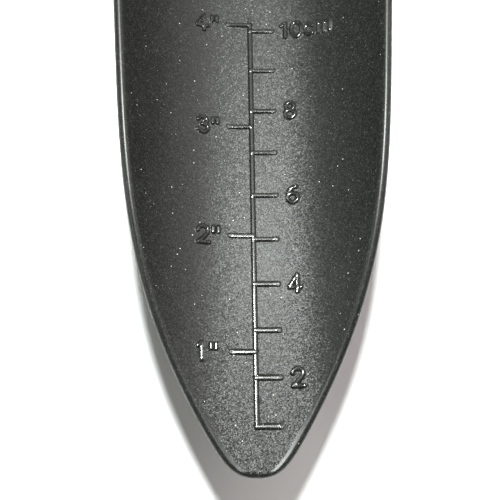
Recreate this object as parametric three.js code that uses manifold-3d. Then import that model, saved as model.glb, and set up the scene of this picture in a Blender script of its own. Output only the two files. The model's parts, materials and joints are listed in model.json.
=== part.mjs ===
// A hand trowel with a moulded scoop blade that carries a raised planting-depth scale.
// Millimetres. +Y runs from the blade's tip to the butt, +Z is up. The trowel lies on its back:
// the open side of the scoop faces up, and it rests on the blade's heel land and the butt's foot.
import * as THREE from 'three';
import Module from 'manifold-3d';
import { LoftGeometry } from 'three/addons/geometries/LoftGeometry.js';
import { mergeVertices } from 'three/addons/utils/BufferGeometryUtils.js';

// Fit
const GAP = 0.3; // between neighbouring pieces

// Blade, in its own frame: Y along the inner floor line from the tip, Z out of the open side
const BLADE_TILT = 10; // degrees, tip up
const TIP_HEIGHT = 25.9; // inner floor at the tip above the table
const WALL = 2.3;
const BLADE_LENGTH = 125; // tip to where the shoulders begin
const BLADE_HALF_WIDTH = 31.2;
const SHOULDER_LENGTH = 38;
const FLOOR_RADIUS = 59; // of the trough's bottom
const SIDE_STEEPNESS = 16.5e-6; // fourth-power term that turns the sides up
const HEEL_LAND_RADIUS = 7;
const HEEL_LAND_Y = 131; // along the blade

// Neck and tang, along the handle's axis
const HANDLE_TILT = 6; // degrees, butt down
const HANDLE_FRONT = new THREE.Vector3(0, 180, 24.4);
const NECK_RADIUS = 9;
const NECK_ROUND_LENGTH = 14;
const TANG_LENGTH = 52;
const TANG_WIDTH = 9;
const TANG_HEIGHT = 6.4;
const NECK_POCKET_WIDTH = 4.6;
const NECK_POCKET_LENGTH = 7;
const NECK_POCKET_ROOF = -2.5; // from the neck's centre line
const NECK_POCKET_PLACES = [0.66, 0.85]; // along the neck's centre line

// Raised scale
const SCALE_HEIGHT = 0.4;
const SCALE_EMBED = 0.9;
const LINE_WIDTH = 1.2;
const STROKE_WIDTH = 0.9;
const STROKE_STEPS = 7; // straight parts of each curved stroke
const TICK_LENGTH = 5;
const INCH = 25.4;
const SCALE_START = 10;
const CM_MARKS = 10;
const INCH_MARKS = 4;
const CM_DIGIT_X = 8.55;
const INCH_DIGIT_X = -10.75;
const INCH_SIGN_X = -8;
const ONE_INCH_SHIFT = -0.7; // of the sign beside the narrow figure 1, which moves half as far
const LAST_CM_TEXT = [['1', 8], ['0', 10.5], ['c', 13.4], ['m', 16.5]]; // [character, x]
const GLYPH_TOP = 1.78; // half the height between stroke centres
const GLYPH_SIDE = 1.15;

// Handle, in its own frame: Y back along the axis, Z up. One entry of
// [half width, height above the axis, depth below it] for every HANDLE_STEP of length.
const HANDLE_STEP = 15;
const HANDLE_SECTIONS = [
  [11.5, 11.5, 11.5],
  [12.6, 12.6, 12.0],
  [12.8, 13.0, 11.4],
  [13.4, 13.8, 11.6],
  [14.4, 14.4, 12.4],
  [15.2, 14.6, 13.0],
  [15.2, 14.0, 13.6],
  [14.4, 12.8, 14.2],
  [12.8, 10.6, 12.8],
];
const HANDLE_SQUARENESS = 2.35; // superellipse exponent; 2 is round
const SHELL_START = 5.5;
const SHELL_END = 96;
const SHELL_WALL = 3;
const HANDLE_END = 124;
const DOME_LENGTH = 14;
const DOME_FULLNESS = 2.6; // 2 is an ellipse
const DOME_FLAT = 0.4; // cut off the dome's point
const RIB_PLACES = [25, 40, 60];
const RIB_THICKNESS = 3;
const SHELL_STEPS = 14; // stations along the shells and pads

// Collar
const COLLAR_FRONT = -9;
const COLLAR_BACK = SHELL_START - GAP;
const COLLAR_RADIUS = 11.5;

// Screws, pin, cap and eyelet
const SCREW_PLACES = { front: 13, middle: 74, rear: 88 };
const SCREW_SHANK_RADIUS = 1.5;
const SCREW_HEAD_RADIUS = 3;
const SCREW_HEAD_HEIGHT = 2.2;
const SCREW_SINK = 4; // depth of the head's seat below the handle's surface
const SCREW_TOP = 6; // above the handle's axis
const CROSS_SLOT_LENGTH = 3.4;
const CROSS_SLOT_WIDTH = 0.9;
const CROSS_SLOT_DEPTH = 1.2;
const POST_RADIUS = 4.8;
const PIN_RADIUS = 2;
const PIN_PLACE = 40;
const PIN_RECESS = 0.6;
const TONGUE_LENGTH = 15;
const TONGUE_WIDTH = 12;
const TONGUE_HEIGHT = 7;
const EYELET_PLACE = 113.5;
const EYELET_BORE_RADIUS = 5;
const EYELET_TUBE_RADIUS = 6;
const EYELET_FLANGE_RADIUS = 7.8;
const EYELET_FLANGE = 1;
const EYELET_TOP = 10.4; // flange face above the handle's axis
const EYELET_BOTTOM = -11.3;

// Soft pads: [first, last, half width] along the handle
const THUMB_PAD = [11, 38, 7.5];
const PALM_PAD = [46, 90, 10];
const FINGER_PAD = [21, 66, 9];
const PAD_PROUD = 0.5;
const PAD_DEPTH = 1.3;

const wasm = await Module();
wasm.setup();

const rad = THREE.MathUtils.degToRad;
const { lerp, smoothstep } = THREE.MathUtils;

// Solids -------------------------------------------------------------------------------------

function toSolid(geometry) {
  const bare = new THREE.BufferGeometry().copy(geometry);
  bare.deleteAttribute('normal');
  bare.deleteAttribute('uv');
  const merged = mergeVertices(bare, 1e-4);
  const index = Array.from(merged.index.array);
  const triangles = [];
  for (let i = 0; i < index.length; i += 3) {
    const [a, b, c] = index.slice(i, i + 3);
    if (a !== b && b !== c && c !== a) triangles.push(a, b, c);
  }
  return new wasm.Manifold(new wasm.Mesh({
    numProp: 3,
    vertProperties: Float32Array.from(merged.attributes.position.array),
    triVerts: Uint32Array.from(triangles),
  }));
}

function toGeometry(solid) {
  const mesh = solid.getMesh();
  const geometry = new THREE.BufferGeometry();
  geometry.setAttribute('position', new THREE.Float32BufferAttribute(mesh.vertProperties, 3));
  geometry.setIndex(Array.from(mesh.triVerts));
  return geometry;
}

function piece(name, solid, look) {
  const geometry = solid.isBufferGeometry ? solid : toGeometry(solid);
  const mesh = new THREE.Mesh(geometry, new THREE.MeshStandardMaterial(look));
  mesh.name = name;
  return mesh;
}

function block(width, length, height, x, y, z) {
  return toSolid(new THREE.BoxGeometry(width, length, height).translate(x, y, z));
}

// A cylinder along Z from z0 to z1
function post(radius, z0, z1, x, y, segments = 20) {
  const geometry = new THREE.CylinderGeometry(radius, radius, z1 - z0, segments);
  return toSolid(geometry.rotateX(Math.PI / 2).translate(x, y, (z0 + z1) / 2));
}

// A cylinder along Y from y0 to y1
function rod(radius, y0, y1, segments = 28) {
  const geometry = new THREE.CylinderGeometry(radius, radius, y1 - y0, segments);
  return toSolid(geometry.translate(0, (y0 + y1) / 2, 0));
}

// Blade ----------------------------------------------------------------------------------------

const RIM = WALL / 2;
const SIDE_POINTS = 10;
const RIM_POINTS = 4;
const TIP_STEPS = 7; // sections of the blade, along it
const SIDE_STEPS = 15;
const NECK_STEPS = 12;

const wallMiddle = (x) => x * x / (2 * FLOOR_RADIUS) + SIDE_STEEPNESS * x ** 4 - RIM;
const wallSlope = (x) => x / FLOOR_RADIUS + 4 * SIDE_STEEPNESS * x ** 3;

// Plan outline as [distance from the tip, half width]: a rounded tip, a long ogive side that is
// nearly parallel at the back, then the shoulders down to the neck.
const tipCurve = new THREE.CubicBezierCurve(
  new THREE.Vector2(0, 0),
  new THREE.Vector2(0, 4.44),
  new THREE.Vector2(1.45, 6.1),
  new THREE.Vector2(9.12, 10.53),
);
const sideCurve = new THREE.CubicBezierCurve(
  new THREE.Vector2(9.12, 10.53),
  new THREE.Vector2(44.7, 31),
  new THREE.Vector2(65.1, 27),
  new THREE.Vector2(BLADE_LENGTH, BLADE_HALF_WIDTH),
);
const shoulderCurve = new THREE.CubicBezierCurve(
  new THREE.Vector2(BLADE_LENGTH, BLADE_HALF_WIDTH),
  new THREE.Vector2(BLADE_LENGTH + 13, BLADE_HALF_WIDTH + 0.9),
  new THREE.Vector2(BLADE_LENGTH + 14, NECK_RADIUS + 4),
  new THREE.Vector2(BLADE_LENGTH + SHOULDER_LENGTH, NECK_RADIUS + 0.2),
);

// One closed ring of the scoop's wall at distance y from the tip: over the inner face from left
// to right, round the right rim, back under the outer face, and round the left rim.
function wallRing(y, halfWidth) {
  const half = y < RIM ? Math.sqrt(RIM * RIM - (RIM - y) ** 2) : RIM;
  const reach = halfWidth - half;
  const narrowing = y > BLADE_LENGTH ? (BLADE_HALF_WIDTH - RIM) / reach : 1;
  const at = (x, turn) => {
    const angle = Math.atan(wallSlope(x * narrowing) * narrowing) + turn;
    const z = wallMiddle(x * narrowing) + half * Math.sin(angle);
    return new THREE.Vector3(x + half * Math.cos(angle), y, z);
  };
  const ring = [];
  for (let i = 0; i <= SIDE_POINTS; i++) {
    ring.push(at(lerp(-reach, reach, i / SIDE_POINTS), Math.PI / 2));
  }
  for (let i = 1; i < RIM_POINTS; i++) ring.push(at(reach, Math.PI * (0.5 - i / RIM_POINTS)));
  for (let i = 0; i <= SIDE_POINTS; i++) {
    ring.push(at(lerp(reach, -reach, i / SIDE_POINTS), -Math.PI / 2));
  }
  for (let i = 1; i < RIM_POINTS; i++) ring.push(at(-reach, Math.PI * (-0.5 - i / RIM_POINTS)));
  return ring;
}

// The same ring of points on a circle, square to an axis that is tilted up by tilt
function neckRing(centre, radius, tilt) {
  const count = 2 * (SIDE_POINTS + RIM_POINTS);
  const start = Math.PI - Math.PI * RIM_POINTS / count;
  const ring = [];
  for (let i = 0; i < count; i++) {
    const angle = start - 2 * Math.PI * i / count;
    const up = radius * Math.sin(angle);
    ring.push(new THREE.Vector3(
      radius * Math.cos(angle),
      centre.y - up * Math.sin(tilt),
      centre.z + up * Math.cos(tilt),
    ));
  }
  return ring;
}

// The neck's centre line, from inside the scoop's back to the round end under the collar
function neckCurve(neckEnd, neckTilt) {
  return new THREE.CubicBezierCurve3(
    new THREE.Vector3(0, BLADE_LENGTH, 10),
    new THREE.Vector3(0, BLADE_LENGTH + 14, 12),
    new THREE.Vector3(0, neckEnd.y - 12 * Math.cos(neckTilt), neckEnd.z - 12 * Math.sin(neckTilt)),
    neckEnd,
  );
}

function bladeSections(neckEnd, neckTilt) {
  const sections = [];
  for (let i = 1; i < TIP_STEPS; i++) {
    const p = tipCurve.getPoint((i / TIP_STEPS) ** 1.5); // closer together at the point
    sections.push(wallRing(p.x, p.y));
  }
  for (let i = 0; i < SIDE_STEPS; i++) {
    const p = sideCurve.getPoint(i / SIDE_STEPS);
    sections.push(wallRing(p.x, p.y));
  }
  const centreLine = neckCurve(neckEnd, neckTilt);
  for (let i = 0; i <= NECK_STEPS; i++) {
    const t = i / NECK_STEPS;
    const blend = smoothstep(t, 1 / NECK_STEPS, 1 - 1 / NECK_STEPS);
    const outline = shoulderCurve.getPoint(t);
    const scoop = wallRing(outline.x, outline.y);
    const round = neckRing(centreLine.getPoint(t), NECK_RADIUS, neckTilt * t);
    sections.push(scoop.map((p, j) => p.lerp(round[j], blend)));
  }
  return sections;
}

// Raised scale ---------------------------------------------------------------------------------

// Height and slope of the inner face at x, from the point of the wall's middle that faces it
function innerFloor(x) {
  let middle = x;
  for (let i = 0; i < 4; i++) middle = x + RIM * Math.sin(Math.atan(wallSlope(middle)));
  const slope = wallSlope(middle);
  return { z: wallMiddle(middle) + RIM * Math.cos(Math.atan(slope)), slope };
}

// Lays a solid drawn on the XY plane, with z = 0 on the surface, onto the blade's inner face
function layOnFloor(geometry, x, y) {
  const floor = innerFloor(x);
  return toSolid(geometry.rotateY(-Math.atan(floor.slope)).translate(x, y, floor.z));
}

function raise(shape) {
  const geometry = new THREE.ExtrudeGeometry(shape, {
    depth: SCALE_HEIGHT + SCALE_EMBED,
    bevelEnabled: false,
    curveSegments: STROKE_STEPS,
  });
  return geometry.translate(0, 0, -SCALE_EMBED);
}

// A ridge with sloping sides from (x0, y0) to (x1, y1) on the plane
function ridge(x0, y0, x1, y1) {
  const section = new THREE.Shape();
  section.moveTo(-LINE_WIDTH / 2, -SCALE_EMBED);
  section.lineTo(LINE_WIDTH / 2, -SCALE_EMBED);
  section.lineTo(LINE_WIDTH / 2, 0);
  section.lineTo(LINE_WIDTH / 4, SCALE_HEIGHT);
  section.lineTo(-LINE_WIDTH / 4, SCALE_HEIGHT);
  section.lineTo(-LINE_WIDTH / 2, 0);
  const length = Math.hypot(x1 - x0, y1 - y0);
  const geometry = new THREE.ExtrudeGeometry(section, { depth: length, bevelEnabled: false });
  geometry.rotateX(Math.PI / 2).translate(0, length, 0);
  return geometry.rotateZ(Math.atan2(y1 - y0, x1 - x0) - Math.PI / 2).translate(x0, y0, 0);
}

const line = (x0, y0, x1, y1) => new THREE.LineCurve(
  new THREE.Vector2(x0, y0),
  new THREE.Vector2(x1, y1),
);
const toVectors = (points) => points.map(([x, y]) => new THREE.Vector2(x, y));
const spline = (...points) => new THREE.SplineCurve(toVectors(points));
const arc = (x, y, rx, ry, from, to) => (
  new THREE.EllipseCurve(x, y, rx, ry, rad(from), rad(to), to < from)
);
const loop = (x, y, rx, ry) => ({ x, y, rx, ry });

// Strokes of each character, around its middle
const GLYPHS = {
  0: [loop(0, 0, GLYPH_SIDE, GLYPH_TOP)],
  1: [line(-0.8, 1.15, 0, GLYPH_TOP), line(0, GLYPH_TOP + 0.3, 0, -GLYPH_TOP)],
  2: [
    spline(
      [-1.15, 0.85],
      [-0.75, 1.5],
      [0.1, GLYPH_TOP],
      [1, 1.4],
      [1, 0.45],
      [0.1, -0.7],
      [-1.2, -GLYPH_TOP],
    ),
    line(-1.2, -GLYPH_TOP, 1.3, -GLYPH_TOP),
  ],
  3: [
    spline([-1.1, 1.15], [-0.35, GLYPH_TOP], [0.8, 1.5], [0.9, 0.65], [-0.1, 0.15]),
    spline([-0.1, 0.15], [1.05, -0.3], [1.1, -1.15], [0.1, -GLYPH_TOP], [-1.15, -1.1]),
  ],
  4: [
    line(0.45, GLYPH_TOP, -1.25, -0.8),
    line(-1.4, -0.8, 1.25, -0.8),
    line(0.45, GLYPH_TOP + 0.3, 0.45, -GLYPH_TOP),
  ],
  6: [
    loop(0, -0.73, GLYPH_SIDE, 1.05),
    spline([-1.1, -0.65], [-0.85, 0.55], [-0.2, 1.35], [0.75, GLYPH_TOP]),
  ],
  8: [loop(0, 0.92, 0.92, 0.86), loop(0, -0.88, GLYPH_SIDE, 0.9)],
  c: [arc(0, -0.53, 1.1, 1.25, 48, 312)],
  m: [
    line(-1.35, -GLYPH_TOP, -1.35, 0.95),
    arc(-0.68, 0, 0.68, 0.72, 180, 0),
    line(0, 0.1, 0, -GLYPH_TOP),
    arc(0.68, 0, 0.68, 0.72, 180, 0),
    line(1.35, 0.1, 1.35, -GLYPH_TOP),
  ],
  '"': [line(-0.53, 0.3, -0.53, 2.1), line(0.53, 0.3, 0.53, 2.1)],
};

function strokeShape(curve) {
  const half = STROKE_WIDTH / 2;
  if (curve.rx) {
    const { x, y, rx, ry } = curve;
    const shape = new THREE.Shape().absellipse(x, y, rx + half, ry + half, 0, 2 * Math.PI);
    shape.holes.push(new THREE.Path().absellipse(x, y, rx - half, ry - half, 0, 2 * Math.PI));
    return shape;
  }
  const steps = curve.isLineCurve ? 1 : STROKE_STEPS;
  const left = [];
  const right = [];
  for (let i = 0; i <= steps; i++) {
    const p = curve.getPoint(i / steps);
    const side = curve.getTangent(i / steps).multiplyScalar(half);
    left.push(new THREE.Vector2(p.x - side.y, p.y + side.x));
    right.unshift(new THREE.Vector2(p.x + side.y, p.y - side.x));
  }
  return new THREE.Shape([...left, ...right]);
}

function glyph(character, x, y) {
  return GLYPHS[character].map((stroke) => layOnFloor(raise(strokeShape(stroke)), x, y));
}

function scaleSolids() {
  const solids = [layOnFloor(ridge(0, SCALE_START, 0, INCH_MARKS * INCH), 0, 0)];
  for (let cm = 1; cm <= CM_MARKS; cm++) {
    solids.push(layOnFloor(ridge(-TICK_LENGTH / 2, 0, TICK_LENGTH / 2, 0), TICK_LENGTH / 2, 10 * cm));
    if (cm % 2 === 0 && cm < CM_MARKS) solids.push(...glyph(cm, CM_DIGIT_X, 10 * cm));
  }
  const lastY = 10 * CM_MARKS;
  for (const [character, x] of LAST_CM_TEXT) solids.push(...glyph(character, x, lastY));
  for (let inch = 1; inch <= INCH_MARKS; inch++) {
    const y = inch * INCH;
    solids.push(layOnFloor(ridge(-TICK_LENGTH / 2, 0, TICK_LENGTH / 2, 0), -TICK_LENGTH / 2, y));
    const shift = inch === 1 ? ONE_INCH_SHIFT : 0;
    solids.push(...glyph(inch, INCH_DIGIT_X + shift / 2, y));
    solids.push(...glyph('"', INCH_SIGN_X + shift, y));
  }
  return solids;
}

// Handle outline -------------------------------------------------------------------------------

const handleCurve = new THREE.CatmullRomCurve3(
  HANDLE_SECTIONS.map((section) => new THREE.Vector3(...section)),
  false,
  'catmullrom',
);

function handleSize(y) {
  const size = handleCurve.getPoint(y / (HANDLE_STEP * (HANDLE_SECTIONS.length - 1)));
  const past = Math.max(0, y - (HANDLE_END - DOME_LENGTH)) / DOME_LENGTH;
  return size.multiplyScalar(Math.sqrt(1 - past ** DOME_FULLNESS));
}

function handleRing(y, offset, points = 24) {
  const size = handleSize(y);
  const exponent = 2 / lerp(2, HANDLE_SQUARENESS, smoothstep(y, SHELL_START, 30));
  const ring = [];
  for (let i = 0; i < points; i++) {
    const angle = -2 * Math.PI * i / points;
    const across = Math.sign(Math.cos(angle)) * Math.abs(Math.cos(angle)) ** exponent;
    const up = Math.sign(Math.sin(angle)) * Math.abs(Math.sin(angle)) ** exponent;
    ring.push(new THREE.Vector3(
      (size.x + offset) * across,
      y,
      ((up > 0 ? size.y : size.z) + offset) * up,
    ));
  }
  return ring;
}

function handleSolid(offset, from, to, steps) {
  const sections = [];
  for (let i = 0; i <= steps; i++) sections.push(handleRing(lerp(from, to, i / steps), offset));
  return toSolid(new LoftGeometry(sections, { capStart: true, capEnd: true }));
}

// An oblong column with round ends over [first, last], on one side of the handle's axis
function padColumn([first, last, halfWidth], grow, side) {
  const radius = halfWidth + grow;
  const shape = new THREE.Shape();
  shape.absarc(0, last + grow - radius, radius, 0, Math.PI, false);
  shape.absarc(0, first - grow + radius, radius, Math.PI, 2 * Math.PI, false);
  const depth = 2 * COLLAR_RADIUS; // past the handle's surface everywhere
  const geometry = new THREE.ExtrudeGeometry(shape, { depth, bevelEnabled: false, curveSegments: 8 });
  return toSolid(side > 0 ? geometry : geometry.translate(0, 0, -depth));
}

// Pieces ---------------------------------------------------------------------------------------

function bladePiece(handleInBlade, bladeToTable) {
  const neckTilt = rad(BLADE_TILT - HANDLE_TILT);
  const neckEnd = new THREE.Vector3(0, -NECK_ROUND_LENGTH, 0).applyMatrix4(handleInBlade);
  const sections = bladeSections(neckEnd, neckTilt);
  let solid = toSolid(new LoftGeometry(sections, { capStart: true, capEnd: true }));

  const tang = new THREE.BoxGeometry(TANG_WIDTH, TANG_LENGTH + 2, TANG_HEIGHT);
  const tangSolid = toSolid(tang.translate(0, TANG_LENGTH / 2 - 1, 0))
    .subtract(post(SCREW_SHANK_RADIUS + GAP, -10, 10, 0, SCREW_PLACES.front))
    .subtract(pinColumn(PIN_RADIUS + GAP, 2 * TANG_WIDTH));
  const stub = rod(NECK_RADIUS, -NECK_ROUND_LENGTH - 0.5, 0).add(tangSolid);
  solid = solid.add(stub.transform(handleInBlade.elements));

  for (const raised of scaleSolids()) solid = solid.add(raised);

  // The land under the heel is square to the table, and its face is the lowest of the blade
  const tableToBlade = bladeToTable.clone().invert();
  const heel = new THREE.Vector3(0, HEEL_LAND_Y, 0).applyMatrix4(bladeToTable);
  const land = post(HEEL_LAND_RADIUS, 0, heel.z - WALL / 4, 0, heel.y, 36);
  solid = solid.add(land.transform(tableToBlade.elements));
  return solid.subtract(neckPockets(neckEnd, neckTilt));
}

// Pockets in the neck's underside that keep the moulding's walls even
function neckPockets(neckEnd, neckTilt) {
  const centreLine = neckCurve(neckEnd, neckTilt);
  const pockets = [];
  for (const t of NECK_POCKET_PLACES) {
    const centre = centreLine.getPoint(t);
    for (const side of [-1, 1]) {
      const box = new THREE.BoxGeometry(NECK_POCKET_WIDTH, NECK_POCKET_LENGTH, 30);
      box.translate(side * (NECK_POCKET_WIDTH / 2 + 1), 0, NECK_POCKET_ROOF - 15);
      pockets.push(toSolid(box.rotateX(neckTilt).translate(0, centre.y, centre.z)));
    }
  }
  return pockets.reduce((all, pocket) => all.add(pocket));
}

function pinColumn(radius, length) {
  const geometry = new THREE.CylinderGeometry(radius, radius, length, 16);
  return toSolid(geometry.rotateZ(Math.PI / 2).translate(0, PIN_PLACE, 0));
}

function handleShell(side) {
  const outer = handleSolid(0, SHELL_START, SHELL_END, SHELL_STEPS);
  const cavity = handleSolid(-SHELL_WALL, SHELL_START + SHELL_WALL, SHELL_END - SHELL_WALL, SHELL_STEPS);
  const inside = handleSolid(-SHELL_WALL / 2, SHELL_START + 1, SHELL_END - 1, SHELL_STEPS);
  const ribThickness = (y) => (y === PIN_PLACE ? 3 * PIN_RADIUS : RIB_THICKNESS);
  const ribs = RIB_PLACES.map((y) => block(40, ribThickness(y), 40, 0, y, 0));
  const places = Object.values(SCREW_PLACES);
  const posts = places.map((y) => post(POST_RADIUS, -20, 20, 0, y));
  const solids = [...ribs, ...posts].reduce((all, next) => all.add(next)).intersect(inside);
  let shell = outer.subtract(cavity).add(solids);
  shell = shell.add(rod(NECK_RADIUS, GAP, SHELL_START + 1));

  const tang = [TANG_WIDTH + 2 * GAP, TANG_LENGTH + GAP, TANG_HEIGHT + 2 * GAP];
  const tongue = [TONGUE_WIDTH + 2 * GAP, TONGUE_LENGTH + GAP, TONGUE_HEIGHT + 2 * GAP];
  shell = shell.subtract(block(...tang, 0, tang[1] / 2, 0));
  shell = shell.subtract(block(...tongue, 0, SHELL_END + 1 - tongue[1] / 2, 0));
  shell = shell.subtract(pinColumn(PIN_RADIUS + GAP, 40));
  for (const y of places) {
    const seat = SCREW_SINK - handleSize(y).z;
    shell = shell.subtract(post(SCREW_SHANK_RADIUS + GAP, -20, SCREW_TOP + GAP, 0, y));
    shell = shell.subtract(post(SCREW_HEAD_RADIUS + GAP, -20, seat, 0, y));
  }
  const pads = side > 0 ? [THUMB_PAD, PALM_PAD] : [FINGER_PAD];
  const pocketFloor = handleSolid(-PAD_DEPTH - GAP, SHELL_START, SHELL_END, SHELL_STEPS);
  for (const pad of pads) shell = shell.subtract(padColumn(pad, GAP, side).subtract(pocketFloor));
  return shell.intersect(block(60, 200, 40, 0, 50, side * (20 + GAP / 2)));
}

function padPiece(pad, side) {
  const outer = handleSolid(PAD_PROUD, SHELL_START, SHELL_END, SHELL_STEPS);
  const inner = handleSolid(-PAD_DEPTH, SHELL_START, SHELL_END, SHELL_STEPS);
  return padColumn(pad, 0, side).intersect(outer).subtract(inner);
}

function collarPiece() {
  const inner = NECK_RADIUS + GAP;
  const edge = 0.8;
  const profile = [
    [inner, COLLAR_FRONT],
    [COLLAR_RADIUS - 2 * edge, COLLAR_FRONT],
    [COLLAR_RADIUS - edge, COLLAR_FRONT + edge / 2],
    [COLLAR_RADIUS, COLLAR_FRONT + 2.5 * edge],
    [COLLAR_RADIUS, COLLAR_BACK],
    [inner, COLLAR_BACK],
    [inner, COLLAR_FRONT],
  ];
  return new THREE.LatheGeometry(profile.map(([r, y]) => new THREE.Vector2(r, y)), 36);
}

function screwPiece(y) {
  const seat = SCREW_SINK - handleSize(y).z - GAP;
  const head = seat - SCREW_HEAD_HEIGHT;
  const profile = [
    [0, head],
    [SCREW_HEAD_RADIUS - 0.6, head],
    [SCREW_HEAD_RADIUS, head + 0.7],
    [SCREW_HEAD_RADIUS, seat],
    [SCREW_SHANK_RADIUS, seat],
    [SCREW_SHANK_RADIUS, SCREW_TOP - 2],
    [0, SCREW_TOP],
  ];
  const lathe = new THREE.LatheGeometry(profile.map(([r, z]) => new THREE.Vector2(r, z)), 16);
  return toSolid(lathe.rotateX(Math.PI / 2))
    .subtract(block(CROSS_SLOT_LENGTH, CROSS_SLOT_WIDTH, 2 * CROSS_SLOT_DEPTH, 0, 0, head))
    .subtract(block(CROSS_SLOT_WIDTH, CROSS_SLOT_LENGTH, 2 * CROSS_SLOT_DEPTH, 0, 0, head));
}

function endCapPiece(tableInHandle) {
  const start = SHELL_END + GAP;
  let cap = handleSolid(0, start, HANDLE_END - DOME_FLAT, 12);
  const tongueStart = SHELL_END + 1 - TONGUE_LENGTH;
  const tongueLength = start + 1 - tongueStart;
  cap = cap.add(block(TONGUE_WIDTH, tongueLength, TONGUE_HEIGHT, 0, tongueStart + tongueLength / 2, 0));
  cap = cap.subtract(post(SCREW_SHANK_RADIUS + GAP, -10, 10, 0, SCREW_PLACES.rear));
  cap = cap.subtract(post(EYELET_TUBE_RADIUS + GAP, -20, 20, 0, EYELET_PLACE, 32));
  const seat = EYELET_FLANGE_RADIUS + GAP;
  cap = cap.subtract(post(seat, EYELET_TOP - EYELET_FLANGE - GAP, 20, 0, EYELET_PLACE, 32));
  cap = cap.subtract(post(seat, -20, EYELET_BOTTOM + EYELET_FLANGE + GAP, 0, EYELET_PLACE, 32));
  const belowTable = block(80, 400, 40, 0, 300, -20).transform(tableInHandle.elements);
  return cap.subtract(belowTable);
}

function eyeletPiece() {
  const profile = [
    [EYELET_BORE_RADIUS, EYELET_BOTTOM + 0.5],
    [EYELET_BORE_RADIUS + 0.5, EYELET_BOTTOM],
    [EYELET_FLANGE_RADIUS, EYELET_BOTTOM],
    [EYELET_FLANGE_RADIUS, EYELET_BOTTOM + EYELET_FLANGE],
    [EYELET_TUBE_RADIUS, EYELET_BOTTOM + EYELET_FLANGE],
    [EYELET_TUBE_RADIUS, EYELET_TOP - EYELET_FLANGE],
    [EYELET_FLANGE_RADIUS, EYELET_TOP - EYELET_FLANGE],
    [EYELET_FLANGE_RADIUS, EYELET_TOP],
    [EYELET_BORE_RADIUS + 0.5, EYELET_TOP],
    [EYELET_BORE_RADIUS, EYELET_TOP - 0.5],
    [EYELET_BORE_RADIUS, EYELET_BOTTOM + 0.5],
  ];
  return new THREE.LatheGeometry(profile.map(([r, z]) => new THREE.Vector2(r, z)), 24);
}

// Assembly -------------------------------------------------------------------------------------

const MOULDING = { color: 0x3a3d3c, roughness: 0.5, metalness: 0 };
const HANDLE_PLASTIC = { color: 0x262827, roughness: 0.55, metalness: 0 };
const SOFT_RUBBER = { color: 0x1b1c1d, roughness: 0.85, metalness: 0 };
const STEEL = { color: 0xb9bbbd, roughness: 0.3, metalness: 1 };

const bladeGroup = new THREE.Group();
bladeGroup.position.set(0, 0, TIP_HEIGHT);
bladeGroup.rotation.x = -rad(BLADE_TILT);
bladeGroup.updateMatrix();

const handleGroup = new THREE.Group();
handleGroup.position.copy(HANDLE_FRONT);
handleGroup.rotation.x = -rad(HANDLE_TILT);
handleGroup.updateMatrix();

const handleInBlade = bladeGroup.matrix.clone().invert().multiply(handleGroup.matrix);
const tableInHandle = handleGroup.matrix.clone().invert();

bladeGroup.add(piece('blade', bladePiece(handleInBlade, bladeGroup.matrix), MOULDING));

handleGroup.add(piece('neck_collar', collarPiece(), { color: 0x8f9396, roughness: 0.4, metalness: 1 }));
handleGroup.add(piece('handle_shell_upper', handleShell(1), HANDLE_PLASTIC));
handleGroup.add(piece('handle_shell_lower', handleShell(-1), HANDLE_PLASTIC));
handleGroup.add(piece('thumb_pad', padPiece(THUMB_PAD, 1), SOFT_RUBBER));
handleGroup.add(piece('palm_pad', padPiece(PALM_PAD, 1), SOFT_RUBBER));
handleGroup.add(piece('finger_pad', padPiece(FINGER_PAD, -1), SOFT_RUBBER));

const pinLength = 2 * (handleSize(PIN_PLACE).x - PIN_RECESS);
handleGroup.add(piece('tang_pin', pinColumn(PIN_RADIUS, pinLength), STEEL));

for (const [place, y] of Object.entries(SCREW_PLACES)) {
  const screw = piece(`shell_screw_${place}`, screwPiece(y), STEEL);
  screw.position.y = y;
  handleGroup.add(screw);
}

handleGroup.add(piece('end_cap', endCapPiece(tableInHandle), HANDLE_PLASTIC));

const eyelet = piece('hang_eyelet', eyeletPiece(), STEEL);
eyelet.rotation.x = Math.PI / 2;
eyelet.position.y = EYELET_PLACE;
handleGroup.add(eyelet);

// The origin goes to the middle of the footprint
const trowel = new THREE.Group();
trowel.add(bladeGroup, handleGroup);
trowel.updateMatrixWorld(true);
const bounds = new THREE.Box3().setFromObject(trowel, true);
trowel.position.y = -(bounds.min.y + bounds.max.y) / 2;

export default trowel;
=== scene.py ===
"""A moulded hand trowel with a raised depth scale, lying on its back: the looks round the CAD part.

Lengths are in millimetres, and become metres where an object is made. The blade and the handle
each have a frame of their own, the same two as in the CAD part: Y runs along the blade's inner
floor from the tip, or back along the handle's axis, and Z is up out of the open side.
"""

import json
import math

import bpy
import numpy as np
from mathutils import Matrix, Vector


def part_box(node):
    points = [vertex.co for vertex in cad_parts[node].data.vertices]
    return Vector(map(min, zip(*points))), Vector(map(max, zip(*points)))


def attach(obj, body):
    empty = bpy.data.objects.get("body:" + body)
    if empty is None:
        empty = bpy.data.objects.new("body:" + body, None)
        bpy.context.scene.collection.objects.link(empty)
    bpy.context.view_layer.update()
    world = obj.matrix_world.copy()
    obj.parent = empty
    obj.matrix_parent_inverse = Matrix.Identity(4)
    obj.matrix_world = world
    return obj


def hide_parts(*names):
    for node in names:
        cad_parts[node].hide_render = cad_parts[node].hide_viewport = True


MM = 0.001
GAP = 0.3  # between neighbouring pieces

# Blade
BLADE_TILT = math.radians(10)
WALL = 2.3
RIM = WALL / 2
BLADE_LENGTH = 125
BLADE_HALF_WIDTH = 31.2
FLOOR_RADIUS = 59
SIDE_STEEPNESS = 16.5e-6
HEEL_LAND_RADIUS = 7
HEEL_LAND_Y = 131

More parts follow.
